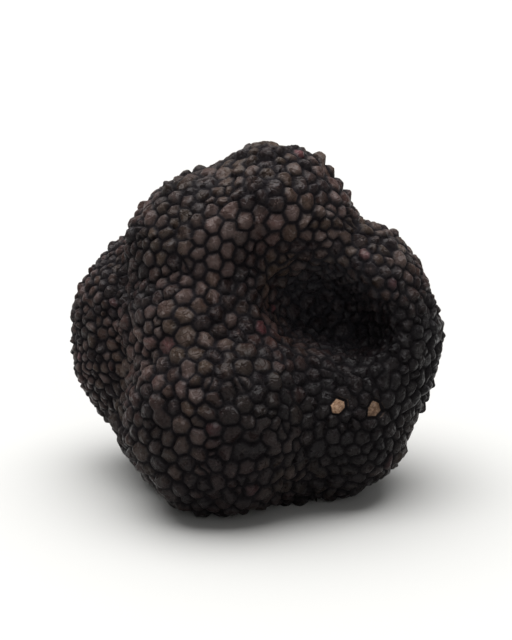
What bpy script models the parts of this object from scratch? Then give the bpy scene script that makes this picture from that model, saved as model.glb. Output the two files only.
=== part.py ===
"""A black truffle, built as the real one grew: one solid.

It is a lobed, knobbly tuber with a deep hollow in its front, covered all over in low
pyramidal warts. Metres, +Z up, and the front, with the hollow, faces -Y. The origin is
at the bottom centre of the bounding box, on the surface that the truffle rests on.
"""

import math
import random
from dataclasses import dataclass

import bmesh
import bpy
import numpy as np
from mathutils import Vector

MM = 0.001

# Driving dimensions
TRUFFLE_WIDTH = 56.0 * MM
WART_SPACING = 2.45 * MM
WART_HEIGHT_SHARE = 0.29
GROOVE_DEPTH = 0.2 * MM
RESTING_SINK = 1.7 * MM
FOLD_RADIUS = 0.8 * MM

# Irregularity of the skin, as shares of the local wart spacing or height
PATCHINESS = 0.34
WART_SHIFT = 0.15
SHIFT_SPREAD = 0.6
HEIGHT_SPREAD = 0.25
LEAST_CROWDED_HEIGHT = 0.3

# Mesh making
START_RADIUS = 22.0 * MM
START_SUBDIVISIONS = 4
OPENING_ROUNDS = 9
EVENING_ROUNDS = 17
RELAX_SHARE = 0.6
SLOPE_STEP = 0.05 * MM
LONG_EDGE = 1.32
SHORT_EDGE = 0.78
LEAST_SLOPE = 0.5
SEED = 11

SKIN_COLOUR = (0.021, 0.017, 0.016, 1.0)
SKIN_ROUGHNESS = 0.72


@dataclass(frozen=True)
class Lobe:
    """One swelling of the tuber, an ellipsoid in the body's own millimetres."""

    name: str
    centre: tuple
    radii: tuple
    wart_size: float = 1.0


@dataclass(frozen=True)
class Hollow:
    """A dent: the ellipsoid that is missing, and how softly its rim rolls in.

    Its turn is in degrees, anticlockwise as seen from the front. Its dip is the angle, in
    degrees, at which it runs down towards the back.
    """

    name: str
    centre: tuple
    radii: tuple
    rim: float
    turn: float = 0.0
    dip: float = 0.0


LOBES = (
    Lobe("core", (0.5, 3.0, -1.5), (20.3, 16.3, 20.0)),
    Lobe("crown", (2.8, 4.2, 14.8), (12.6, 12.5, 12.8), 1.02),
    Lobe("left_brow", (-6.8, 3.4, 11.7), (12.8, 12.8, 12.6)),
    Lobe("left_shoulder", (-8.8, -2.4, 1.2), (11.3, 12.4, 12.5)),
    Lobe("left_cheek", (-15.8, 9.2, -4.0), (12.7, 12.7, 16.6), 0.76),
    Lobe("right_cheek", (15.1, 3.0, -2.2), (13.8, 15.0, 18.0), 0.96),
    Lobe("front_knob", (-5.2, -10.0, -10.4), (13.8, 13.2, 15.1), 1.16),
    Lobe("right_foot", (10.6, -3.0, -11.9), (13.5, 13.3, 13.2), 1.06),
    Lobe("back_foot", (2.0, 10.5, -13.8), (13.5, 10.5, 12.0)),
    Lobe("left_foot", (-10.8, 1.5, -13.7), (11.2, 11.5, 11.5)),
    Lobe("sole", (2.5, -5.5, -13.4), (12.3, 12.0, 11.9)),
    Lobe("nape", (-6.5, 11.5, 5.5), (11.8, 10.6, 12.2)),
    Lobe("back_shoulder", (9.5, 11.0, 0.5), (12.0, 11.4, 13.0), 0.94),
)
HOLLOWS = (
    Hollow("front_pit", (11.3, -9.4, 6.5), (9.6, 14.6, 6.7), 1.9, -24.0, 20.0),
    Hollow("under_the_brow", (-0.6, -12.0, 14.8), (7.6, 4.2, 3.0), 1.6, 4.0),
)

# Two warts on the front that have lost their tips, in millimetres across and up
CHIPPED_WARTS = ((10.6, -5.8), (18.0, -7.2))
CHIPPED_HEIGHT_SHARE = 0.3

# Patches of larger and smaller warts: each wave's length in millimetres, way and start
PATCH_WAVES = (
    (5.2, (0.8, 0.3, 0.5), 0.4),
    (6.1, (-0.5, 0.2, 0.8), 2.9),
    (4.6, (0.1, -0.9, 0.4), 1.7),
)

# Broad unevenness of the body: the length of each wave and its height, in millimetres
SWELLS = ((20.0, 0.35), (11.0, 0.22))
WAVES_EACH = 6


def ellipsoid_distance(offset, radii):
    """About how far outside an ellipsoid each point is, from its offset from the centre."""
    radii = np.array(radii)
    reach = np.linalg.norm(offset / radii, axis=1)
    slope = np.linalg.norm(offset / radii**2, axis=1)
    return reach * (reach - 1.0) / np.maximum(slope, 1e-9)


def hollow_distance(points, hollow, opening):
    """About how far outside a hollow each point is, in millimetres.

    The opening is how far the hollow has been pushed into the body, from 0 to 1.
    """
    turn = math.radians(hollow.turn)
    dip = math.radians(hollow.dip)
    inwards = np.array([0.0, math.cos(dip), -math.sin(dip)])
    upwards = np.array([0.0, math.sin(dip), math.cos(dip)])
    reached = np.array(hollow.centre) - inwards * (1.0 - opening) * hollow.radii[1]
    offset = points - reached
    across = offset[:, 0]
    up = offset @ upwards
    turned = np.stack([
        across * math.cos(turn) + up * math.sin(turn),
        offset @ inwards,
        up * math.cos(turn) - across * math.sin(turn),
    ], axis=1)
    return ellipsoid_distance(turned, hollow.radii)


def swell_height(points):
    """The body's broad unevenness at each point: crossed sine waves with seeded directions."""
    draw = np.random.default_rng(SEED)
    height = np.zeros(len(points))
    for length, amount in SWELLS:
        for _ in range(WAVES_EACH):
            way = draw.normal(size=3)
            way /= np.linalg.norm(way)
            turn = draw.uniform(0.0, 2.0 * math.pi)
            wave = np.sin(points @ way * 2.0 * math.pi / length + turn)
            height += wave * amount / math.sqrt(WAVES_EACH)
    return height


def lobe_shares(points):
    """How much each lobe counts at each point, and the smooth union's distance."""
    fold = FOLD_RADIUS / MM
    each = np.stack([ellipsoid_distance(points - np.array(lobe.centre), lobe.radii) for lobe in LOBES])
    nearest = each.min(axis=0)
    weight = np.exp(-(each - nearest) / fold)
    total = weight.sum(axis=0)
    return weight / total, nearest - fold * np.log(total)


def skin_distance(points, opening=1.0):
    """How far each point is outside the truffle's smooth body, in millimetres."""
    _, distance = lobe_shares(points)
    for hollow in HOLLOWS:
        outside = -hollow_distance(points, hollow, opening)
        most = np.maximum(distance, outside)
        sides = np.exp((distance - most) / hollow.rim) + np.exp((outside - most) / hollow.rim)
        distance = most + hollow.rim * np.log(sides)
    return distance - swell_height(points)


def skin_normal(points, opening=1.0):
    """The body's outward direction at each point, and how steeply the distance grows there."""
    step = SLOPE_STEP / MM
    slope = np.empty_like(points)
    for axis in range(3):
        nudge = np.zeros(3)
        nudge[axis] = step
        ahead = skin_distance(points + nudge, opening)
        behind = skin_distance(points - nudge, opening)
        slope[:, axis] = (ahead - behind) / (2.0 * step)
    size = np.linalg.norm(slope, axis=1, keepdims=True)
    return slope / size, np.maximum(size[:, 0], LEAST_SLOPE)


def onto_skin(points, steps, opening=1.0):
    """Each point moved along the body's slope, step by step, until it lies on the skin."""
    for _ in range(steps):
        normal, size = skin_normal(points, opening)
        points = points - normal * (skin_distance(points, opening) / size)[:, None]
    return points


def wart_spacing(points):
    """The distance between neighbouring warts at each point, in millimetres."""
    shares, _ = lobe_shares(points)
    size = shares.T @ np.array([lobe.wart_size for lobe in LOBES])
    patch = np.zeros(len(points))
    for length, way, start in PATCH_WAVES:
        patch += np.sin(points @ np.array(way) * 2.0 * math.pi / length + start) / len(PATCH_WAVES)
    return WART_SPACING / MM * size * (1.0 + PATCHINESS * patch)


def places(verts):
    """The vertices' places as an array of millimetres."""
    return np.array([vert.co for vert in verts]) / MM


def put(verts, points):
    """Moves the vertices to an array of places in millimetres."""
    for vert, point in zip(verts, points):
        vert.co = Vector(point) * MM


def split_long_edges(bm):
    """Cuts in half each edge that is much longer than the wart spacing there."""
    edges = bm.edges[:]
    middles = np.array([(e.verts[0].co + e.verts[1].co) / 2.0 for e in edges]) / MM
    target = wart_spacing(middles) * MM * LONG_EDGE
    long_edges = [e for e, most in zip(edges, target) if e.calc_length() > most]
    bmesh.ops.subdivide_edges(bm, edges=long_edges, cuts=1)
    bmesh.ops.triangulate(bm, faces=[f for f in bm.faces if len(f.verts) > 3])


def neighbours(vert):
    """The vertices joined to this one by an edge."""
    return [edge.other_vert(vert) for edge in vert.link_edges]


def collapse_short_edges(bm):
    """Closes up edges much shorter than the wart spacing, no two of them side by side."""
    edges = bm.edges[:]
    middles = np.array([(e.verts[0].co + e.verts[1].co) / 2.0 for e in edges]) / MM
    target = wart_spacing(middles) * MM * SHORT_EDGE
    short = [(e.calc_length() / least, e) for e, least in zip(edges, target)]
    short = sorted((pair for pair in short if pair[0] < 1.0), key=lambda pair: pair[0])
    chosen = []
    used = set()
    for _, edge in short:
        first, second = edge.verts
        ring_a = set(neighbours(first))
        ring_b = set(neighbours(second))
        shared = ring_a & ring_b
        thin = any(len(vert.link_edges) < 5 for vert in shared)
        if len(shared) != 2 or thin or used & (ring_a | ring_b):
            continue
        used |= ring_a | ring_b
        chosen.append(edge)
    bmesh.ops.collapse(bm, edges=chosen)


def flip_gain(edge):
    """How much nearer to six edges a vertex the mesh comes if this edge is turned."""
    first, second = edge.verts
    across = [v for face in edge.link_faces for v in face.verts if v not in (first, second)]
    if len(across) != 2 or across[1] in neighbours(across[0]):
        return 0
    before = sum(abs(len(v.link_edges) - 6) for v in (first, second, *across))
    after = sum(abs(len(v.link_edges) - 1 - 6) for v in (first, second))
    after += sum(abs(len(v.link_edges) + 1 - 6) for v in across)
    return before - after


def even_out_valences(bm):
    """Turns edges so that most vertices have six, which makes most warts six-sided."""
    for edge in bm.edges[:]:
        if edge.is_valid and flip_gain(edge) > 0:
            bmesh.utils.edge_rotate(edge, True)


def relax(bm, opening):
    """Draws each vertex towards the middle of its neighbours and back onto the skin."""
    verts = bm.verts[:]
    here = places(verts)
    middle = np.array([sum((n.co for n in neighbours(v)), Vector()) / len(v.link_edges) for v in verts])
    put(verts, onto_skin(here + RELAX_SHARE * (middle / MM - here), 3, opening))


def wart_seed_mesh():
    """A mesh of the smooth body with one vertex where the tip of each wart will be.

    It starts on the body without its hollows and follows them in as they open, so that the
    surface nowhere folds over.
    """
    bm = bmesh.new()
    bmesh.ops.create_icosphere(bm, subdivisions=START_SUBDIVISIONS, radius=START_RADIUS)
    put(bm.verts, onto_skin(places(bm.verts), 12, opening=0.0))
    for count in range(EVENING_ROUNDS):
        split_long_edges(bm)
        collapse_short_edges(bm)
        even_out_valences(bm)
        relax(bm, min(1.0, (count + 1) / OPENING_ROUNDS))
    return bm


def scatter(bm):
    """Shifts each vertex a little along the skin, so that no two warts are quite alike."""
    draw = random.Random(SEED)
    points = places(bm.verts)
    reach = wart_spacing(points) * WART_SHIFT
    shift = np.array([[draw.gauss(0.0, SHIFT_SPREAD) for _ in range(3)] for _ in points])
    put(bm.verts, onto_skin(points + shift * reach[:, None], 3))


def wart_heights(points, normal):
    """How far each wart stands up, in millimetres: less in folds, and least where it is chipped."""
    draw = random.Random(SEED + 1)
    spacing = wart_spacing(points)
    room = np.clip(skin_distance(points + normal * spacing[:, None]) / spacing, 0.0, 1.0)
    height = spacing * WART_HEIGHT_SHARE
    height *= LEAST_CROWDED_HEIGHT + (1.0 - LEAST_CROWDED_HEIGHT) * room**2
    height *= np.array([1.0 + HEIGHT_SPREAD * draw.uniform(-1.0, 1.0) for _ in points])
    front = np.nonzero(normal[:, 1] < 0.0)[0]
    for across, up in CHIPPED_WARTS:
        gap = np.hypot(points[front, 0] - across, points[front, 2] - up)
        height[front[np.argmin(gap)]] *= CHIPPED_HEIGHT_SHARE
    return height


def raise_warts(bm):
    """Turns each vertex into a pyramid that stands in a ring of grooves.

    Poking adds a groove corner in the middle of every triangle. Turning the old edges
    then joins these corners round each wart, and leaves its tip joined to all of them.
    """
    tips = bm.verts[:]
    between_tips = bm.edges[:]
    corners = bmesh.ops.poke(bm, faces=bm.faces[:])["verts"]
    bmesh.ops.rotate_edges(bm, edges=between_tips, use_ccw=False)

    tip_points = places(tips)
    outward, _ = skin_normal(tip_points)
    height = wart_heights(tip_points, outward)
    put(tips, tip_points + outward * height[:, None])

    corner_points = onto_skin(places(corners), 3)
    outward, _ = skin_normal(corner_points)
    put(corners, corner_points - outward * GROOVE_DEPTH / MM)


def flatten_resting_spot(bm):
    """Presses the lowest part of the skin flat, where the truffle rests."""
    floor = min(vert.co.z for vert in bm.verts) + RESTING_SINK
    for vert in bm.verts:
        vert.co.z = max(vert.co.z, floor)


def bring_to_size_and_origin(bm):
    """Scales the body to its real width and puts its bottom centre at the origin."""
    spots = np.array([vert.co for vert in bm.verts])
    low, high = spots.min(axis=0), spots.max(axis=0)
    scale = TRUFFLE_WIDTH / (high[0] - low[0])
    middle = Vector(((low[0] + high[0]) / 2.0, (low[1] + high[1]) / 2.0, low[2]))
    for vert in bm.verts:
        vert.co = (vert.co - middle) * scale


def skin_material():
    """The dull brown-black of the outer skin."""
    material = bpy.data.materials.new("black_skin")
    material.use_nodes = True
    shader = material.node_tree.nodes["Principled BSDF"]
    shader.inputs["Base Color"].default_value = SKIN_COLOUR
    shader.inputs["Roughness"].default_value = SKIN_ROUGHNESS
    shader.inputs["Metallic"].default_value = 0.0
    return material


def build_truffle(collection):
    """The whole truffle as one closed mesh object."""
    bm = wart_seed_mesh()
    scatter(bm)
    raise_warts(bm)
    flatten_resting_spot(bm)
    bring_to_size_and_origin(bm)
    mesh = bpy.data.meshes.new("truffle")
    bm.to_mesh(mesh)
    bm.free()
    mesh.materials.append(skin_material())
    truffle = bpy.data.objects.new("truffle", mesh)
    collection.objects.link(truffle)
    return truffle


def main():
    """Clears the scene and builds the truffle in a collection of its own."""
    for obj in bpy.data.objects[:]:
        bpy.data.objects.remove(obj)
    collection = bpy.data.collections.new("black_truffle")
    bpy.context.scene.collection.children.link(collection)
    build_truffle(collection)


main()
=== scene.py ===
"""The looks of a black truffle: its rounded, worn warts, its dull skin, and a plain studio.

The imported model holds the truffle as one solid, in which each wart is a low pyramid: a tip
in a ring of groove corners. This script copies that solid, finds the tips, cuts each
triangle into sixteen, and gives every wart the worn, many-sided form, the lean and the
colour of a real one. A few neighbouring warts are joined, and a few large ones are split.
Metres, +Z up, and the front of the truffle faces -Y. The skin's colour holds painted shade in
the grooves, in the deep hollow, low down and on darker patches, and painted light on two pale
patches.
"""

import logging
import math
import random
from collections import deque
from dataclasses import dataclass, field
from enum import Enum

import bmesh
import bpy
import numpy as np
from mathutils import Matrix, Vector, noise
from mathutils.kdtree import KDTree

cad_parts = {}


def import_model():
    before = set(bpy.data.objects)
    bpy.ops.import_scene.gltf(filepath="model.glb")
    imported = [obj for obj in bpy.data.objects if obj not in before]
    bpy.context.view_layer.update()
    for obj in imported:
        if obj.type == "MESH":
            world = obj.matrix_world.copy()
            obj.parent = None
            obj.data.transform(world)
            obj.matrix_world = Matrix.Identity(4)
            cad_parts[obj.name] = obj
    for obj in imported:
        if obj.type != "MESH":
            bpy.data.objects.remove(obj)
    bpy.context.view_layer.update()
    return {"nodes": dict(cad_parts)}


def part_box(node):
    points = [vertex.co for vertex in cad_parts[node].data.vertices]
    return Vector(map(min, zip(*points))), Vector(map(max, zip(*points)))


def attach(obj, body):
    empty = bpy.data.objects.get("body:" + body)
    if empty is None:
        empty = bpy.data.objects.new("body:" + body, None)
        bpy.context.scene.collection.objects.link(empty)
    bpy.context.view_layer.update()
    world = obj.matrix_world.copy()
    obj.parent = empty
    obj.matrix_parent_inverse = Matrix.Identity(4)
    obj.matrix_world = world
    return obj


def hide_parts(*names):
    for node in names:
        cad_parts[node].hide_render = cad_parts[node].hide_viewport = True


MM = 0.001
NODE = "truffle"
MERGE_GAP = 0.001 * MM
FLAT_BELOW = 0.001 * MM
RIM_RISE = 0.01
NEARLY_ZERO = 1e-9

log = logging.getLogger("truffle")


class Mark(Enum):
    """The channels of the skin's colour attribute, which hold what is true of a whole wart."""

    TINT = 0
    REDNESS = 1
    CHIP = 2


@dataclass(frozen=True)
class Spot:
    """A round part of the skin: its place, how far it reaches, and its share in the middle."""

    place: tuple
    reach: float
    share: float


@dataclass(frozen=True)
class SkinTextures:
    """The sockets that the skin's colours and relief are made from."""

    stand: bpy.types.NodeSocket
    tint: bpy.types.NodeSocket
    redness: bpy.types.NodeSocket
    chip: bpy.types.NodeSocket
    patch: bpy.types.NodeSocket
    mottle: bpy.types.NodeSocket
    grain: bpy.types.NodeSocket


@dataclass(frozen=True)
class SkinFinish:
    """The colours and the fine texture of the outer skin, with its painted shade and painted light.

    A field that ends in "ramp" holds two pairs, each of a value and what it's mapped to.
    """

    # Painted shade: the colour that the grooves between the warts are darkened to.
    groove: tuple = (0.0068, 0.0052, 0.0064)
    # Painted shade: the near-black colour laid on the lower part and on the darker patches.
    painted_shade: tuple = (0.0036, 0.0027, 0.0034)
    dark_wart: tuple = (0.0140, 0.0086, 0.0088)
    brown_wart: tuple = (0.048, 0.0243, 0.0205)
    olive_wart: tuple = (0.044, 0.0290, 0.0174)
    grey_wart: tuple = (0.062, 0.0425, 0.0412)
    red_wart: tuple = (0.085, 0.0260, 0.0300)
    chip: tuple = (0.36, 0.235, 0.155)
    chip_core: tuple = (0.16, 0.088, 0.052)
    # Dust on the worn tops, and painted light on the two pale patches.
    dust_and_painted_light: tuple = (0.091, 0.065, 0.058)
    # Painted shade: the flat purple-black of the deep hollow in shade.
    hollow_shade: tuple = (0.0190, 0.0180, 0.0210)

    patch_scale: float = 70.0
    mottle_scale: float = 850.0
    grain_scale: float = 2600.0
    crack_scale: float = 900.0
    facet_scale: float = 1500.0
    facet_tilt: float = 0.9

    tint_share: float = 0.6
    brown_ramp: tuple = ((0.24, 0.0), (0.68, 1.0))
    olive_ramp: tuple = ((0.42, 0.0), (0.60, 1.0))
    grey_ramp: tuple = ((0.50, 0.0), (0.72, 1.0))
    grey_share: float = 0.75
    red_ramp: tuple = ((0.3, 0.35), (0.6, 1.0))
    worn_ramp: tuple = ((0.62, 0.0), (1.0, 1.0))
    dust_ramp: tuple = ((0.50, 0.0), (0.68, 0.85))
    # Painted shade: darkest in the grooves, fading out towards the tops of the warts.
    groove_shade_ramp: tuple = ((0.18, 1.0), (0.86, 0.0))
    broken_share: float = 0.4
    broken_ramp: tuple = ((0.45, 0.0), (0.65, 1.0))
    flesh_ramp: tuple = ((0.35, 0.0), (0.65, 1.0))

    roughness_ramp: tuple = ((0.1, 0.95), (0.7, 0.36))
    roughness_swing: float = 0.3
    gloss: float = 0.14
    crack_ramp: tuple = ((0.0, 0.0), (0.12, 1.0))
    crack_share: float = 0.35
    mottle_share: float = 0.9
    grain_share: float = 0.35
    relief_strength: float = 0.9
    relief_height: float = 0.16 * MM

    # Painted shade: darker towards the bottom, fading out by 18 mm above the floor.
    low_shade_ramp: tuple = ((3.6 * MM, 0.76), (18.0 * MM, 0.0))
    spot_core: float = 0.4
    spot_unevenness: float = 8.0 * MM
    # Painted shade: darker patches where the skin lies in shade, round and below the hollow, on the
    # right side and in the folds.
    shade_spots: tuple = (
        Spot((0.0150, -0.0160, 0.0150), 0.0195, 0.92),
        Spot((0.0270, -0.0080, 0.0200), 0.0190, 0.95),
        Spot((0.0005, -0.0195, 0.0170), 0.0120, 0.80),
        Spot((0.0015, -0.0110, 0.0345), 0.0085, 0.65),
        Spot((-0.0185, -0.0030, 0.0335), 0.0085, 0.50),
        Spot((-0.0115, -0.0150, 0.0130), 0.0110, 0.65),
        Spot((0.0000, -0.0175, 0.0255), 0.0065, 0.60),
        Spot((-0.0105, -0.0020, 0.0455), 0.0075, 0.40),
    )
    # Painted shade: where the deep hollow is given its shaded colour.
    hollow_shade_spots: tuple = (Spot((0.0117, 0.0010, 0.0285), 0.0132, 0.78),)
    # Painted light: two paler patches on the brow and the left side that lighten the shade below
    # the brow.
    painted_light_spots: tuple = (
        Spot((-0.0050, -0.0110, 0.0415), 0.0085, 0.45),
        Spot((-0.0165, -0.0120, 0.0265), 0.0075, 0.30),
    )

    def material(self) -> bpy.types.Material:
        """Makes the node material of the skin.

        Returns:
            The finished material, which reads the "stand" and "marks" attributes.
        """
        tree = NodeTree("black_truffle_skin")
        textures = self.textures(tree)
        skin = self.wart_colour(tree, textures)
        skin = self.worn_and_shaded(tree, textures, skin)
        skin = self.chipped(tree, textures, skin)
        tree.link(skin, tree.shader.inputs["Base Color"])
        tree.link(self.surface_roughness(tree, textures), tree.shader.inputs["Roughness"])
        tree.link(self.relief(tree, textures), tree.shader.inputs["Normal"])
        tree.shader.inputs["Specular IOR Level"].default_value = self.gloss
        return tree.material

    def textures(self, tree: "NodeTree") -> SkinTextures:
        """Reads the skin's attributes and adds its three noises."""
        stand = tree.attribute("stand", "Fac")
        split = tree.node("ShaderNodeSeparateColor")
        tree.link(tree.attribute("marks", "Color"), split.inputs["Color"])
        tint, redness, chip = (split.outputs[name] for name in ("Red", "Green", "Blue"))
        patch = tree.noise(self.patch_scale, detail=3.0)
        mottle = tree.noise(self.mottle_scale, detail=5.0, roughness=0.7)
        grain = tree.noise(self.grain_scale, detail=4.0, roughness=0.7)
        return SkinTextures(stand, tint, redness, chip, patch, mottle, grain)

    def wart_colour(self, tree: "NodeTree", textures: SkinTextures) -> bpy.types.NodeSocket:
        """Gives the warts their own colours: dark, brown, olive, grey and a few red ones.

        Args:
            tree: The skin's node tree.
            textures: The skin's attributes and noises.

        Returns:
            The colour of clean, unworn skin.
        """
        patch, mottle = textures.patch, textures.mottle
        tone = tree.mean(textures.tint, mottle, self.tint_share)
        warm = tree.mix(tree.ramp(patch, self.olive_ramp), self.brown_wart, self.olive_wart)
        skin = tree.mix(tree.ramp(tone, self.brown_ramp), self.dark_wart, warm)
        grey = tree.ramp(tree.mean(tone, patch, self.tint_share), self.grey_ramp)
        skin = tree.mix(tree.math("MULTIPLY", grey, self.grey_share), skin, self.grey_wart)
        red = tree.math("MULTIPLY", textures.redness, tree.ramp(mottle, self.red_ramp))
        return tree.mix(red, skin, self.red_wart)

    def worn_and_shaded(self, tree: "NodeTree", textures: SkinTextures,
                        skin: bpy.types.NodeSocket) -> bpy.types.NodeSocket:
        """Rubs the tops of the warts pale, paints light on two pale patches, and paints shade in
        the grooves, in the deep hollow, low down and on darker patches.

        Args:
            tree: The skin's node tree.
            textures: The skin's attributes and noises.
            skin: The colour of clean, unworn skin.

        Returns:
            The colour of the skin apart from its chips.
        """
        stand = textures.stand
        worn = tree.math("MULTIPLY", tree.ramp(stand, self.worn_ramp),
                         tree.ramp(textures.grain, self.dust_ramp))
        skin = tree.mix(worn, skin, self.dust_and_painted_light)
        uneven = tree.swing(textures.patch, self.spot_unevenness)
        # Painted light: the two pale patches are mixed towards the dust colour.
        skin = tree.mix(self.parts_near(tree, self.painted_light_spots, uneven), skin, self.dust_and_painted_light)
        # Painted shade: each wart darkens from its top down into its grooves.
        skin = tree.mix(tree.ramp(stand, self.groove_shade_ramp), skin, self.groove)
        # Painted shade: darker towards the bottom and on the darker patches, with uneven edges.
        low = tree.ramp(tree.math("ADD", tree.height(), uneven), self.low_shade_ramp)
        shade_share = tree.math("MAXIMUM", low, self.parts_near(tree, self.shade_spots, uneven))
        # Painted shade: the deep hollow takes a flat purple-black, the colour of its shade.
        skin = tree.mix(self.parts_near(tree, self.hollow_shade_spots, uneven), skin, self.hollow_shade)
        # Painted shade: the lower part and the darker patches take the near-black colour.
        return tree.mix(shade_share, skin, self.painted_shade)

    def chipped(self, tree: "NodeTree", textures: SkinTextures,
                skin: bpy.types.NodeSocket) -> bpy.types.NodeSocket:
        """Bares the pale flesh on the chipped warts.

        Args:
            tree: The skin's node tree.
            textures: The skin's attributes and noises.
            skin: The colour of the skin round the chips.

        Returns:
            The colour of the skin with its chips.
        """
        ragged = tree.math("MULTIPLY", textures.mottle, self.broken_share)
        ragged = tree.ramp(tree.math("ADD", textures.stand, ragged), self.broken_ramp)
        broken = tree.math("MULTIPLY", textures.chip, ragged)
        flesh = tree.mix(tree.ramp(textures.grain, self.flesh_ramp), self.chip_core, self.chip)
        return tree.mix(broken, skin, flesh)

    def surface_roughness(self, tree: "NodeTree", textures: SkinTextures) -> bpy.types.NodeSocket:
        """Gives the roughness, which is least on the worn tops of the warts."""
        return tree.math("ADD", tree.ramp(textures.stand, self.roughness_ramp),
                         tree.swing(textures.grain, self.roughness_swing))

    def relief(self, tree: "NodeTree", textures: SkinTextures) -> bpy.types.NodeSocket:
        """Adds the finest relief: cracks, grain and small tilted facets.

        Args:
            tree: The skin's node tree.
            textures: The skin's attributes and noises.

        Returns:
            The normals of the skin.
        """
        cracks = tree.ramp(tree.cells(self.crack_scale), self.crack_ramp)
        cracks = tree.math("MULTIPLY", cracks, self.crack_share)
        bumps = tree.math("ADD", tree.math("MULTIPLY", textures.mottle, self.mottle_share),
                          tree.math("MULTIPLY", textures.grain, self.grain_share))
        bump = tree.node("ShaderNodeBump")
        bump.inputs["Strength"].default_value = self.relief_strength
        bump.inputs["Distance"].default_value = self.relief_height
        tree.link(tree.math("ADD", cracks, bumps), bump.inputs["Height"])
        tree.link(tree.tilted_facets(self.facet_scale, self.facet_tilt), bump.inputs["Normal"])
        return bump.outputs["Normal"]

    def parts_near(self, tree: "NodeTree", spots: tuple,
                   uneven: bpy.types.NodeSocket) -> bpy.types.NodeSocket:
        """Finds the parts of the skin that lie near some spots.

        Args:
            tree: The skin's node tree.
            spots: The spots.
            uneven: Broad noise, in metres, that makes the edges of the parts uneven.

        Returns:
            The share, from 0 away from the spots to the spot's own share in its middle.
        """
        shares = 0.0
        for spot in spots:
            gap = tree.math("ADD", tree.gap_to(spot.place), uneven)
            near = tree.ramp(gap, ((spot.reach * self.spot_core, spot.share), (spot.reach, 0.0)))
            shares = tree.math("MAXIMUM", shares, near)
        return shares


@dataclass(frozen=True)
class FloorFinish:
    """A plain pale surface with very faint clouds."""

    colour: tuple = (0.49, 0.488, 0.476)
    cloud_colour: tuple = (0.45, 0.45, 0.44)
    cloud_scale: float = 9.0
    cloud_share: float = 0.03
    roughness: float = 0.6
    gloss: float = 0.2

    def material(self) -> bpy.types.Material:
        """Makes the floor's material.

        Returns:
            A matte near-white material with a very faint unevenness.
        """
        tree = NodeTree("pale_surface")
        cloud = tree.math("MULTIPLY", tree.noise(self.cloud_scale, detail=2.0), self.cloud_share)
        tree.link(tree.mix(cloud, self.colour, self.cloud_colour), tree.shader.inputs["Base Color"])
        tree.shader.inputs["Roughness"].default_value = self.roughness
        tree.shader.inputs["Specular IOR Level"].default_value = self.gloss
        return tree.material


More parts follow.
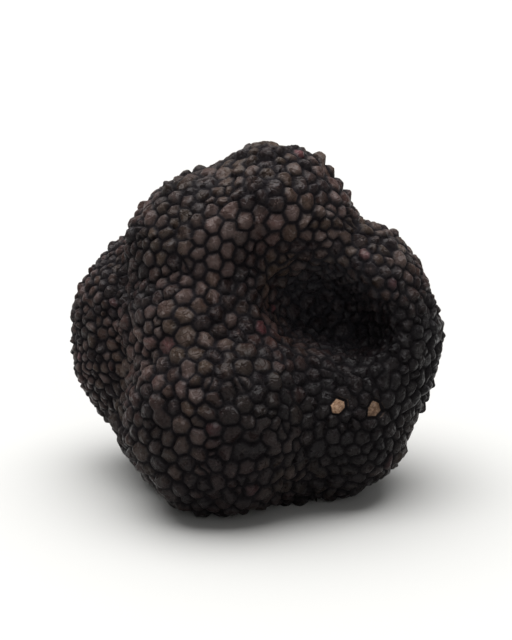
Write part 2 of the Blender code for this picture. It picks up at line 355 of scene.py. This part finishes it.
class NodeTree:
    """A material's node tree, with a short method for each kind of node that is used here."""

    def __init__(self, name: str) -> None:
        """Starts a material that has only its Principled shader and its output.

        Args:
            name: The material's name.
        """
        self.material = bpy.data.materials.new(name)
        self.material.use_nodes = True
        self.tree = self.material.node_tree
        self.shader = self.tree.nodes["Principled BSDF"]
        self.place = self.node("ShaderNodeTexCoord").outputs["Object"]

    def node(self, kind: str) -> bpy.types.Node:
        """Adds a node of the given kind and returns it."""
        return self.tree.nodes.new(kind)

    def link(self, source: object, target: bpy.types.NodeSocket) -> None:
        """Feeds a socket with another socket, a number, a vector or a colour.

        Args:
            source: An output socket, a number, or three numbers.
            target: The input socket to feed.
        """
        if isinstance(source, bpy.types.NodeSocket):
            self.tree.links.new(source, target)
        elif target.type == "RGBA":
            target.default_value = (*source, 1.0)
        else:
            target.default_value = source

    def attribute(self, name: str, output: str) -> bpy.types.NodeSocket:
        """Reads one of the mesh's own attributes and returns the socket that holds it."""
        reader = self.node("ShaderNodeAttribute")
        reader.attribute_name = name
        return reader.outputs[output]

    def texture(self, kind: str, scale: float) -> bpy.types.Node:
        """Adds a texture on the object's own coordinates, with so many waves per metre."""
        texture = self.node(kind)
        texture.inputs["Scale"].default_value = scale
        self.link(self.place, texture.inputs["Vector"])
        return texture

    def noise(self, scale: float, detail: float, roughness: float = 0.5) -> bpy.types.NodeSocket:
        """Adds soft noise.

        Args:
            scale: Waves per metre.
            detail: How many finer layers are added.
            roughness: How strong the finer layers are.

        Returns:
            The noise's value, from 0 to 1.
        """
        texture = self.texture("ShaderNodeTexNoise", scale)
        texture.inputs["Detail"].default_value = detail
        texture.inputs["Roughness"].default_value = roughness
        return texture.outputs["Fac"]

    def cells(self, scale: float) -> bpy.types.NodeSocket:
        """Adds a pattern of cells and returns the distance to the nearest cell edge."""
        texture = self.texture("ShaderNodeTexVoronoi", scale)
        texture.feature = "DISTANCE_TO_EDGE"
        return texture.outputs["Distance"]

    def height(self) -> bpy.types.NodeSocket:
        """Gives the height above the floor."""
        parts = self.node("ShaderNodeSeparateXYZ")
        self.link(self.place, parts.inputs["Vector"])
        return parts.outputs["Z"]

    def vector_math(self, operation: str, *values: object) -> bpy.types.Node:
        """Adds a Vector Math node on the given sockets or vectors and returns it."""
        maths = self.node("ShaderNodeVectorMath")
        maths.operation = operation
        for value, target in zip(values, maths.inputs):
            self.link(value, target)
        return maths

    def gap_to(self, place: tuple) -> bpy.types.NodeSocket:
        """Gives the distance to a place, in metres."""
        return self.vector_math("DISTANCE", self.place, place).outputs["Value"]

    def tilted_facets(self, scale: float, tilt: float) -> bpy.types.NodeSocket:
        """Breaks the surface's normal into small flat facets, each with its own tilt.

        Args:
            scale: Facets per metre.
            tilt: How far the facets lean, as a share of the normal's length.

        Returns:
            The normals of the facets.
        """
        colours = self.texture("ShaderNodeTexVoronoi", scale).outputs["Color"]
        ways = self.vector_math("SUBTRACT", colours, (0.5, 0.5, 0.5)).outputs["Vector"]
        normal = self.node("ShaderNodeNewGeometry").outputs["Normal"]
        leaning = self.vector_math("MULTIPLY_ADD", ways, (tilt, tilt, tilt), normal)
        return self.vector_math("NORMALIZE", leaning.outputs["Vector"]).outputs["Vector"]

    def math(self, operation: str, first: object, second: object) -> bpy.types.NodeSocket:
        """Adds a Math node on two values and returns its result."""
        maths = self.node("ShaderNodeMath")
        maths.operation = operation
        self.link(first, maths.inputs[0])
        self.link(second, maths.inputs[1])
        return maths.outputs[0]

    def mean(self, first: object, second: object, share: float) -> bpy.types.NodeSocket:
        """Gives the mean of two values, with the given share of the first."""
        return self.math("ADD", self.math("MULTIPLY", first, share),
                         self.math("MULTIPLY", second, 1.0 - share))

    def swing(self, value: object, width: float) -> bpy.types.NodeSocket:
        """Turns noise from 0 to 1 into a swing of that width round 0."""
        return self.math("MULTIPLY", self.math("SUBTRACT", value, 0.5), width)

    def ramp(self, value: object, stops: tuple) -> bpy.types.NodeSocket:
        """Maps a value from one stretch to another, and holds it at both ends.

        Args:
            value: The socket or number to map.
            stops: Two pairs, each of an input value and the output value there.

        Returns:
            The mapped value.
        """
        mapping = self.node("ShaderNodeMapRange")
        mapping.interpolation_type = "SMOOTHSTEP"
        self.link(value, mapping.inputs["Value"])
        for end, (given, mapped) in zip(("Min", "Max"), stops):
            mapping.inputs[f"From {end}"].default_value = given
            mapping.inputs[f"To {end}"].default_value = mapped
        return mapping.outputs["Result"]

    def mix(self, share: object, first: object, second: object) -> bpy.types.NodeSocket:
        """Mixes two colours and returns the result."""
        mixer = self.node("ShaderNodeMix")
        mixer.data_type = "RGBA"
        self.link(share, mixer.inputs["Factor"])
        self.link(first, mixer.inputs[6])
        self.link(second, mixer.inputs[7])
        return mixer.outputs[2]


@dataclass(frozen=True)
class WartForm:
    """The sizes that give a wart its shape, in metres or as shares of its height."""

    groove_depth: float = 0.18 * MM
    groove_spread: float = 0.55
    groove_wave: float = 2.6 * MM
    flank_width: float = 0.22 * MM
    flank_sharpness: float = 1.5
    top_share: float = 0.28
    roof_share: float = 0.85
    roof_span: float = 1.10 * MM
    roof_limit: float = 1.1
    facets: int = 5
    facet_slope: tuple = (0.15, 0.60)
    facet_level: tuple = (0.70, 1.10)
    facet_floor: float = 0.35
    height_share: float = 0.95
    height_spread: float = 0.30
    chip_loss: float = 0.5
    lean: float = 0.09
    full_lean_height: float = 0.5 * MM
    unevenness: float = 0.13 * MM
    unevenness_wave: float = 0.8 * MM
    groove_unevenness: float = 0.4
    wander: float = 0.36 * MM
    wander_wave: float = 1.6 * MM
    spike_limit: float = 0.20 * MM
    spike_rounds: int = 2
    stand_of_flank: float = 0.4
    join_chance: float = 0.02
    most_joined: int = 2
    split_chance: float = 0.02
    split_size: float = 1.45 * MM
    split_gap: float = 0.0001 * MM


@dataclass
class Warts:
    """What is known of each wart, one row for each, in the order of their tips."""

    tip: np.ndarray
    outward: np.ndarray
    height: np.ndarray
    radius: np.ndarray
    corners: list


@dataclass
class Characters:
    """What makes one wart unlike another, one row for each wart, also in every facet."""

    lift: np.ndarray
    lean: np.ndarray
    tint: np.ndarray
    redness: np.ndarray
    chip: np.ndarray
    facets: list


@dataclass
class Surface:
    """The finer mesh as arrays, with a row for each vertex, or for each edge.

    The rise is 1 at the tip of a wart and 0 on its rim, which it shares with its neighbours.
    """

    points: np.ndarray
    outward: np.ndarray
    rise: np.ndarray
    wart: np.ndarray
    edges: np.ndarray

    @classmethod
    def read(cls, mesh: bpy.types.Mesh) -> "Surface":
        """Reads the finer mesh and the layers that the coarse one has handed down.

        Args:
            mesh: The finer mesh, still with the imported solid's flat triangles.

        Returns:
            The surface, in which the vertices on a rim still count as the first wart's.
        """
        outward = read_vectors(mesh.attributes["outward"].data, "vector")
        outward /= np.linalg.norm(outward, axis=1, keepdims=True)
        rise = read_numbers(mesh.attributes["rise"].data)
        numbered = read_numbers(mesh.attributes["wart_number"].data)
        wart = np.zeros(len(rise), int)
        inner = rise >= RIM_RISE
        wart[inner] = np.rint(numbered[inner] / rise[inner]).astype(int) - 1
        edges = np.empty(len(mesh.edges) * 2, np.int32)
        mesh.edges.foreach_get("vertices", edges)
        points = read_vectors(mesh.vertices, "co")
        return cls(points, outward, rise, wart, edges.reshape(-1, 2))

    @property
    def on_rim(self) -> np.ndarray:
        """Which vertices lie between warts."""
        return self.rise < RIM_RISE

    @property
    def lying(self) -> np.ndarray:
        """Which vertices lie on the flat spots underneath."""
        return self.points[:, 2] < FLAT_BELOW


@dataclass
class TruffleSkin:
    """The truffle's whole outside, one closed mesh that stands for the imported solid."""

    form: WartForm = field(default_factory=WartForm)
    finish: SkinFinish = field(default_factory=SkinFinish)
    cuts: int = 3
    seed: int = 23
    split_seed: int = 24
    groove_seed: int = 25
    wander_seed: int = 30
    red_chance: float = 0.03
    redness: tuple = (0.3, 0.8)
    reddish_places: tuple = ((0.0067, 0.0497), (0.0000, 0.0285), (0.0030, 0.0280))
    chipped_places: tuple = ((0.0106, 0.0175), (0.0180, 0.0158))
    chip_brightness: tuple = (1.0, 0.5)
    least_forward: float = 0.1

    def build(self, node: bpy.types.Object) -> bpy.types.Object:
        """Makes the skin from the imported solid.

        Args:
            node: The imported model's truffle.

        Returns:
            The dressed skin, riding on the root body in place of the node.
        """
        bm = self.merged_copy(node)
        tips = self.find_tips(bm)
        log.info("%d warts", len(tips))
        warts = self.measure_warts(tips)
        self.write_layers(bm, tips)
        coarse_count = len(bm.verts)
        bmesh.ops.subdivide_edges(bm, edges=bm.edges[:], cuts=self.cuts, use_grid_fill=True)
        mesh = bpy.data.meshes.new("truffle_skin")
        bm.to_mesh(mesh)
        bm.free()
        self.shape(mesh, warts, coarse_count)
        mesh.polygons.foreach_set("use_smooth", [True] * len(mesh.polygons))
        mesh.materials.clear()
        mesh.materials.append(self.finish.material())
        skin = bpy.data.objects.new("truffle_skin", mesh)
        bpy.context.scene.collection.objects.link(skin)
        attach(skin, "root")
        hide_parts(NODE)
        return skin

    def merged_copy(self, node: bpy.types.Object) -> bmesh.types.BMesh:
        """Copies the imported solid's loose triangles and joins them into one surface."""
        bm = bmesh.new()
        bm.from_mesh(node.data)
        bm.verts.layers.float.new("rise")
        bm.verts.layers.float.new("wart_number")
        bm.verts.layers.float_vector.new("outward")
        bmesh.ops.remove_doubles(bm, verts=bm.verts[:], dist=MERGE_GAP)
        bm.verts.index_update()
        bm.verts.ensure_lookup_table()
        bm.normal_update()
        return bm

    def find_tips(self, bm: bmesh.types.BMesh) -> list:
        """Finds the vertices that are the tips of warts.

        Every triangle has one tip and two groove corners, so the far vertex across an edge
        between two corners is a tip too, and the search runs on from the highest vertex. It
        leaves out the flat spots underneath, where triangles may be joined in other ways.

        Args:
            bm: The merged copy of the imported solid.

        Returns:
            The tips, as vertices of bm.
        """
        start = max(bm.verts, key=lambda vert: vert.co.z)
        tips = {start}
        corners = set()
        queue = deque([start])
        while queue:
            tip = queue.popleft()
            for face in tip.link_faces:
                if lies_flat(face):
                    continue
                rim = next(edge for edge in face.edges if tip not in edge.verts)
                corners.update(rim.verts)
                for far in rim.link_faces:
                    other = next(vert for vert in far.verts if vert not in rim.verts)
                    if not (lies_flat(far) or other in tips or other in corners):
                        tips.add(other)
                        queue.append(other)
        return sorted(tips - corners, key=lambda vert: vert.index)

    def measure_warts(self, tips: list) -> Warts:
        """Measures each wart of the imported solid.

        Args:
            tips: The tips of the warts.

        Returns:
            The warts' tips, directions, heights, sizes and corners.
        """
        outward = []
        height = []
        radius = []
        corners = []
        for tip in tips:
            normal = sum((face.normal * face.calc_area() for face in tip.link_faces), Vector())
            normal.normalize()
            ring = [edge.other_vert(tip).co.copy() for edge in tip.link_edges]
            middle = sum(ring, Vector()) / len(ring)
            outward.append(normal)
            height.append(max((tip.co - middle).dot(normal), 0.0))
            radius.append(sum((corner - tip.co).length for corner in ring) / len(ring))
            corners.append(np.array(ring))
        places = np.array([tip.co for tip in tips])
        return Warts(places, np.array(outward), np.array(height), np.array(radius), corners)

    def write_layers(self, bm: bmesh.types.BMesh, tips: list) -> None:
        """Writes on the coarse mesh what the finer one has to know, as vertex layers.

        The rise is 1 at a tip and 0 in the grooves. The wart's number is written times the
        rise, so that dividing by the rise gives it back anywhere on the wart.

        Args:
            bm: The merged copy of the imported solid.
            tips: The tips of the warts.
        """
        rise = bm.verts.layers.float["rise"]
        number = bm.verts.layers.float["wart_number"]
        outward = bm.verts.layers.float_vector["outward"]
        for count, tip in enumerate(tips):
            tip[rise] = 1.0
            tip[number] = count + 1.0
        for vert in bm.verts:
            near = [edge.other_vert(vert).normal for edge in vert.link_edges]
            vert[outward] = (sum(near, Vector()) + vert.normal).normalized()

    def shape(self, mesh: bpy.types.Mesh, warts: Warts, coarse_count: int) -> None:
        """Gives every wart its final form and writes the attributes for the material.

        Args:
            mesh: The finer mesh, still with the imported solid's flat triangles.
            warts: What is known of each wart.
            coarse_count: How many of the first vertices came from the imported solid.
        """
        form = self.form
        surface = Surface.read(mesh)
        group, groove = self.find_grooves(surface, warts, coarse_count)
        wart = surface.wart
        owner = group[wart]

        base = surface.points - surface.outward * (warts.height[wart] * surface.rise)[:, None]
        away = self.distance_to_groove(base, groove, surface.edges)
        widening = noise_values(base, form.groove_wave, self.groove_seed)
        width = form.flank_width * (1.0 + form.groove_spread * widening)
        flank = 1.0 - np.exp(-((away / width) ** form.flank_sharpness))
        roof = np.minimum(away / form.roof_span, form.roof_limit)

        drawn = self.draw_characters(warts)
        top = warts.height[wart] * form.height_share * drawn.lift[owner]
        top *= 1.0 - form.chip_loss * drawn.chip[wart]
        offset = base - self.group_middles(warts, group)[owner]
        offset -= surface.outward * np.sum(offset * surface.outward, axis=1, keepdims=True)
        stand = top * (form.top_share * flank + form.roof_share * roof)
        stand = self.cut_facets(stand, top, offset, owner, drawn.facets)
        slant = np.sum(offset * drawn.lean[owner], axis=1) * flank
        slant *= np.minimum(top / form.full_lean_height, 1.0)
        rough = noise_values(base, form.unevenness_wave, self.seed) * form.unevenness
        rough *= form.groove_unevenness + (1.0 - form.groove_unevenness) * flank
        depth = form.groove_depth * (1.0 - flank)

        placed = base + surface.outward * (stand + slant + rough - depth)[:, None]
        placed += noise_vectors(base, form.wander_wave, self.wander_seed) * form.wander
        placed = self.without_spikes(placed, surface.edges)
        placed[surface.lying] = surface.points[surface.lying]
        placed[:, 2] = np.maximum(placed[:, 2], 0.0)
        mesh.vertices.foreach_set("co", placed.astype(np.float32).ravel())

        height = form.stand_of_flank * flank + (1.0 - form.stand_of_flank) * roof
        write_numbers(mesh, "stand", np.clip(height, 0.0, 1.0))
        marks = np.ones((len(base), 4))
        marks[:, Mark.TINT.value] = drawn.tint[owner]
        marks[:, Mark.REDNESS.value] = drawn.redness[owner]
        marks[:, Mark.CHIP.value] = drawn.chip[wart]
        write_colours(mesh, "marks", marks)
        for name in ("rise", "wart_number", "outward"):
            mesh.attributes.remove(mesh.attributes[name])
        mesh.update()

    def find_grooves(self, surface: Surface, warts: Warts, coarse_count: int) -> tuple:
        """Finds the grooves, after joining some warts and splitting others.

        It also hands each vertex on a rim to one of the warts beside it.

        Args:
            surface: The finer mesh.
            warts: What is known of each wart.
            coarse_count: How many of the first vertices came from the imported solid.

        Returns:
            The group of each wart, and which vertices lie in a groove.
        """
        on_rim = surface.on_rim
        low, high = self.warts_beside(surface)
        surface.wart[on_rim] = low[on_rim]
        between = on_rim & (np.arange(len(on_rim)) >= coarse_count)
        group = self.join_warts(low[between], high[between], len(warts.tip))
        joined = between & (group[low] == group[high])
        groove = on_rim & ~joined & ~surface.lying
        return group, groove | self.split_warts(surface, warts, group)

    def warts_beside(self, surface: Surface) -> tuple:
        """Finds the warts on both sides of each rim vertex.

        Args:
            surface: The finer mesh.

        Returns:
            Two arrays with the lowest and the highest wart number beside each vertex.
        """
        on_rim, wart, edges = surface.on_rim, surface.wart, surface.edges
        low = np.full(len(wart), len(wart))
        high = np.zeros(len(wart), int)
        for rim, inner in ((edges[:, 0], edges[:, 1]), (edges[:, 1], edges[:, 0])):
            across = on_rim[rim] & ~on_rim[inner]
            np.minimum.at(low, rim[across], wart[inner[across]])
            np.maximum.at(high, rim[across], wart[inner[across]])
        low[low == len(wart)] = 0
        return low, high

    def join_warts(self, low: np.ndarray, high: np.ndarray, count: int) -> np.ndarray:
        """Chooses neighbouring warts that have grown together.

        Args:
            low: The lowest wart number beside each vertex that lies between two warts.
            high: The highest one.
            count: How many warts there are.

        Returns:
            For each wart, the number of the wart that its group is called after.
        """
        pairs = sorted({(int(a), int(b)) for a, b in zip(low, high) if a != b})
        draw = random.Random(self.seed)
        group = list(range(count))
        size = [1] * count
        for first, second in pairs:
            chosen = draw.random() < self.form.join_chance
            a, b = group[first], group[second]
            if chosen and a != b and size[a] + size[b] <= self.form.most_joined:
                group = [a if name == b else name for name in group]
                size[a] += size[b]
        return np.array(group)

    def split_warts(self, surface: Surface, warts: Warts, group: np.ndarray) -> np.ndarray:
        """Chooses large single warts that a groove divides in two.

        The groove runs from one corner over the tip to the corner that is most nearly opposite.

        Args:
            surface: The finer mesh.
            warts: What is known of each wart.
            group: The group of each wart.

        Returns:
            Which vertices lie in such a groove.
        """
        form = self.form
        draw = random.Random(self.split_seed)
        members = np.bincount(group, minlength=len(group))
        grooved = np.zeros(len(surface.points), bool)
        order = np.argsort(surface.wart, kind="stable")
        starts = np.searchsorted(surface.wart[order], np.arange(len(warts.tip) + 1))
        for name, tip in enumerate(warts.tip):
            chosen = draw.random() < form.split_chance
            turn = draw.random()
            if not chosen or members[group[name]] > 1 or warts.radius[name] < form.split_size:
                continue
            spokes = warts.corners[name] - tip
            spokes /= np.linalg.norm(spokes, axis=1, keepdims=True)
            first = int(turn * len(spokes))
            second = int(np.argmin(spokes @ spokes[first]))
            mine = order[starts[name]:starts[name + 1]]
            mine = mine[surface.rise[mine] > RIM_RISE]
            ways = surface.points[mine] - tip
            length = np.linalg.norm(ways, axis=1)
            along = np.maximum(ways @ spokes[first], ways @ spokes[second])
            grooved[mine[along >= length - form.split_gap]] = True
        return grooved

    def distance_to_groove(self, base: np.ndarray, groove: np.ndarray,
                           edges: np.ndarray) -> np.ndarray:
        """Measures how far each vertex is from the nearest groove.

        Args:
            base: The vertices on the truffle's surface without its warts.
            groove: Which of them lie in a groove.
            edges: The mesh's edges, as pairs of vertex numbers.

        Returns:
            The distances, in metres.
        """
        along = edges[groove[edges[:, 0]] & groove[edges[:, 1]]]
        first, second = base[along[:, 0]], base[along[:, 1]]
        between = [first * 2 / 3 + second / 3, first / 3 + second * 2 / 3]
        samples = np.concatenate([base[groove], *between])
        tree = KDTree(len(samples))
        for count, sample in enumerate(samples):
            tree.insert(sample, count)
        tree.balance()
        return np.array([tree.find(point)[2] for point in base])

    def draw_characters(self, warts: Warts) -> Characters:
        """Draws what makes each wart unlike the others, and marks the red and chipped ones.

        Args:
            warts: What is known of each wart.

        Returns:
            The warts' heights, leans, colours, chips and facets.
        """
        form = self.form
        draw = np.random.default_rng(self.seed)
        count = len(warts.tip)
        lift = 1.0 + form.height_spread * draw.uniform(-1.0, 1.0, count)
        lean = draw.normal(0.0, form.lean, (count, 3))
        tint = draw.uniform(0.0, 1.0, count)
        reddish = draw.uniform(0.0, 1.0, count) < self.red_chance
        redness = reddish * draw.uniform(*self.redness, count)
        redness[self.warts_near(warts, self.reddish_places)] = 1.0
        chip = np.zeros(count)
        chip[self.warts_near(warts, self.chipped_places)] = self.chip_brightness
        facets = []
        for _ in range(form.facets):
            way = draw.normal(0.0, 1.0, (count, 3))
            way /= np.linalg.norm(way, axis=1, keepdims=True)
            slope = draw.uniform(*form.facet_slope, count)
            level = draw.uniform(*form.facet_level, count)
            facets.append((way, slope, level))
        return Characters(lift, lean, tint, redness, chip, facets)

    def warts_near(self, warts: Warts, places: tuple) -> list:
        """Finds the wart on the front that is nearest to each place.

        Args:
            warts: What is known of each wart.
            places: Places across and up, as seen from straight in front, in metres.

        Returns:
            The number of a wart for each place.
        """
        front = np.nonzero(warts.outward[:, 1] < -self.least_forward)[0]
        found = []
        for across, up in places:
            gap = np.hypot(warts.tip[front, 0] - across, warts.tip[front, 2] - up)
            found.append(int(front[np.argmin(gap)]))
        return found

    def group_middles(self, warts: Warts, group: np.ndarray) -> np.ndarray:
        """Finds the middle of the tips of each group of warts."""
        middles = np.zeros_like(warts.tip)
        np.add.at(middles, group, warts.tip)
        return middles / np.maximum(np.bincount(group, minlength=len(group)), 1)[:, None]

    def cut_facets(self, stand: np.ndarray, top: np.ndarray, offset: np.ndarray,
                   owner: np.ndarray, facets: list) -> np.ndarray:
        """Cuts the warts flat in a few places, each cut through a whole group.

        Args:
            stand: How far each vertex stands out.
            top: The full height of each vertex's wart.
            offset: The way along the skin from the middle of its group to each vertex.
            owner: The group that each vertex belongs to.
            facets: For each cut, which way it falls, how steeply and from what level.

        Returns:
            How far each vertex stands out after the cuts.
        """
        cut = stand
        for way, slope, level in facets:
            plane = top * level[owner] - slope[owner] * np.sum(offset * way[owner], axis=1)
            cut = np.minimum(cut, plane)
        return np.maximum(cut, stand * self.form.facet_floor)

    def without_spikes(self, placed: np.ndarray, edges: np.ndarray) -> np.ndarray:
        """Draws in each vertex that stands too far from the middle of its neighbours.

        Args:
            placed: The vertices' places.
            edges: The mesh's edges, as pairs of vertex numbers.

        Returns:
            The places without spikes.
        """
        links = np.bincount(edges.ravel(), minlength=len(placed))[:, None]
        for _ in range(self.form.spike_rounds):
            middle = np.zeros_like(placed)
            np.add.at(middle, edges[:, 0], placed[edges[:, 1]])
            np.add.at(middle, edges[:, 1], placed[edges[:, 0]])
            middle /= links
            gap = placed - middle
            size = np.linalg.norm(gap, axis=1, keepdims=True)
            share = np.minimum(self.form.spike_limit / np.maximum(size, NEARLY_ZERO), 1.0)
            placed = middle + gap * share
        return placed


def lies_flat(face: bmesh.types.BMFace) -> bool:
    """Tells whether a face is part of one of the flat spots underneath."""
    return max(vert.co.z for vert in face.verts) < FLAT_BELOW


def read_vectors(items: object, name: str) -> np.ndarray:
    """Reads a vector of each item into an array of three columns."""
    values = np.empty(len(items) * 3, np.float32)
    items.foreach_get(name, values)
    return values.reshape(-1, 3).astype(float)


def read_numbers(items: object) -> np.ndarray:
    """Reads the value of each item of an attribute into an array."""
    values = np.empty(len(items), np.float32)
    items.foreach_get("value", values)
    return values.astype(float)


def write_numbers(mesh: bpy.types.Mesh, name: str, values: np.ndarray) -> None:
    """Writes one number for each vertex as an attribute of that name."""
    attribute = mesh.attributes.new(name, "FLOAT", "POINT")
    attribute.data.foreach_set("value", values.astype(np.float32))


def write_colours(mesh: bpy.types.Mesh, name: str, values: np.ndarray) -> None:
    """Writes four numbers for each vertex as a colour attribute of that name."""
    attribute = mesh.color_attributes.new(name, "FLOAT_COLOR", "POINT")
    attribute.data.foreach_set("color", values.astype(np.float32).ravel())


def noise_values(points: np.ndarray, wave: float, seed: int) -> np.ndarray:
    """Soft noise from about -1 to 1 at each point, with a finer and weaker second layer."""
    shift = Vector((seed * 7.3, seed * 3.1, 0.0))
    finer, weaker = 2.3, 0.5
    values = []
    for point in points / wave:
        place = Vector(point) + shift
        values.append(noise.noise(place) + weaker * noise.noise(place * finer))
    return np.array(values)


def noise_vectors(points: np.ndarray, wave: float, seed: int) -> np.ndarray:
    """A soft random shift at each point, each way from about -1 to 1."""
    shifts = [Vector((seed * 5.7 + 31.0 * way, 17.0 * way, seed * 2.9)) for way in range(3)]
    return np.array([[noise.noise(Vector(point) + shift) for shift in shifts]
                     for point in points / wave])


@dataclass(frozen=True)
class Lamp:
    """A round soft lamp: its name, its power in watts, its diameter and where it hangs."""

    name: str
    energy: float
    size: float
    place: tuple

    def hang(self, target: Vector) -> None:
        """Hangs the lamp in the scene so that it faces the target."""
        light = bpy.data.lights.new(self.name, "AREA")
        light.shape = "DISK"
        light.size = self.size
        light.energy = self.energy
        hung = bpy.data.objects.new(self.name, light)
        hung.location = self.place
        hung.rotation_euler = (target - hung.location).to_track_quat("-Z", "Y").to_euler()
        bpy.context.scene.collection.objects.link(hung)


@dataclass
class Studio:
    """A pale floor, a large soft lamp above, a weak one in front, and the camera."""

    floor_size: float = 6.0
    floor_finish: FloorFinish = field(default_factory=FloorFinish)
    sky_strength: float = 0.26
    lamps: tuple = (
        Lamp("key_light", 96.0, 2.7, (-0.15, 0.35, 1.8)),
        Lamp("fill_light", 2.2, 0.8, (0.25, -1.2, 0.5)),
    )
    camera_elevation: float = 18.0
    camera_distance: float = 0.48
    frame_height: float = 0.0935
    sensor: float = 36.0
    clip_start: float = 0.01

    def build(self, target: Vector) -> None:
        """Sets up the floor, the lights and the camera.

        Args:
            target: The point that the lights and the camera face.
        """
        self.lay_floor()
        self.light_sky()
        for lamp in self.lamps:
            lamp.hang(target)
        self.point_camera(target)
        bpy.context.scene.view_settings.view_transform = "Standard"

    def lay_floor(self) -> None:
        """Makes the floor, which isn't part of the truffle."""
        bm = bmesh.new()
        bmesh.ops.create_grid(bm, x_segments=1, y_segments=1, size=self.floor_size / 2.0)
        mesh = bpy.data.meshes.new("pale_floor")
        bm.to_mesh(mesh)
        bm.free()
        mesh.materials.append(self.floor_finish.material())
        floor = bpy.data.objects.new("pale_floor", mesh)
        bpy.context.scene.collection.objects.link(floor)

    def light_sky(self) -> None:
        """Makes the even white sky."""
        world = bpy.data.worlds.new("soft_sky")
        world.use_nodes = True
        sky = world.node_tree.nodes["Background"]
        sky.inputs["Color"].default_value = (1.0, 1.0, 1.0, 1.0)
        sky.inputs["Strength"].default_value = self.sky_strength
        bpy.context.scene.world = world

    def point_camera(self, target: Vector) -> None:
        """Puts the camera at the photograph's viewing angle, close in on the truffle."""
        lens = bpy.data.cameras.new("camera")
        lens.sensor_fit = "VERTICAL"
        lens.sensor_height = self.sensor
        lens.lens = self.sensor * self.camera_distance / self.frame_height
        lens.clip_start = self.clip_start
        camera = bpy.data.objects.new("camera", lens)
        tilt = math.radians(self.camera_elevation)
        away = Vector((0.0, -math.cos(tilt), math.sin(tilt)))
        camera.location = target + away * self.camera_distance
        camera.rotation_euler = (-away).to_track_quat("-Z", "Y").to_euler()
        bpy.context.scene.collection.objects.link(camera)
        bpy.context.scene.camera = camera


def main() -> None:
    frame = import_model()
    skin = TruffleSkin().build(frame["nodes"][NODE])
    log.info("%s: %d triangles", skin.name, len(skin.data.polygons))
    low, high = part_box(NODE)
    Studio().build((low + high) / 2.0)
    log.info("studio: floor, lamps and camera")


if __name__ == "__main__":
    logging.basicConfig(level=logging.INFO)
    main()
